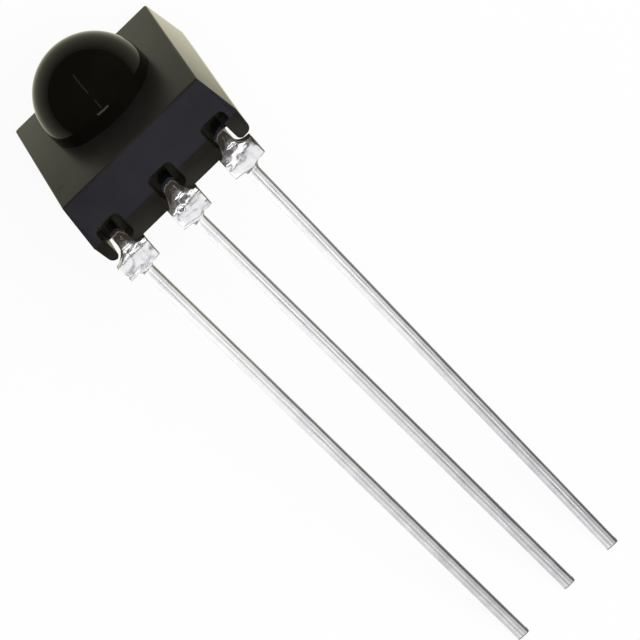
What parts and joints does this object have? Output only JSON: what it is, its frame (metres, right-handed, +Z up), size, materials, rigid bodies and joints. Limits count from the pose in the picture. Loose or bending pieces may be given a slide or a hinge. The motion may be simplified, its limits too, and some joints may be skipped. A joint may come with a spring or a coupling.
{
  "type": "infrared receiver module",
  "caption": "Through-hole infrared receiver in a black moulded body with a dome lens, its tinned leads bent square to the rear.",
  "frame": {"origin": "centre of the footprint of the part as it lies at rest, on the surface it lies on", "axes": "+Z up, +Y along the free ends of the leads, +X across the leads towards the output lead"},
  "size_m": [0.007, 0.0266, 0.0094],
  "materials": {
    "black_epoxy": "black infrared-passing epoxy, glossy dome, satin flats",
    "tinned_steel": "bright tin over steel, smooth on the thin ends, wrinkled on the tabs",
    "silicon": "polished silicon",
    "silver_glue": "cured silver-filled glue",
    "gold_wire": "bright gold wire"
  },
  "bodies": {
    "root": {"epoxy_body": "black_epoxy", "output_lead": "tinned_steel", "ground_lead": "tinned_steel", "supply_lead": "tinned_steel", "photodiode_chip": "silicon", "receiver_chip": "silicon", "photodiode_die_attach": "silver_glue", "receiver_die_attach": "silver_glue", "photodiode_bond_wire": "gold_wire", "output_bond_wire": "gold_wire", "supply_bond_wire": "gold_wire", "ground_bond_wire": "gold_wire"}
  },
  "joints": []
}
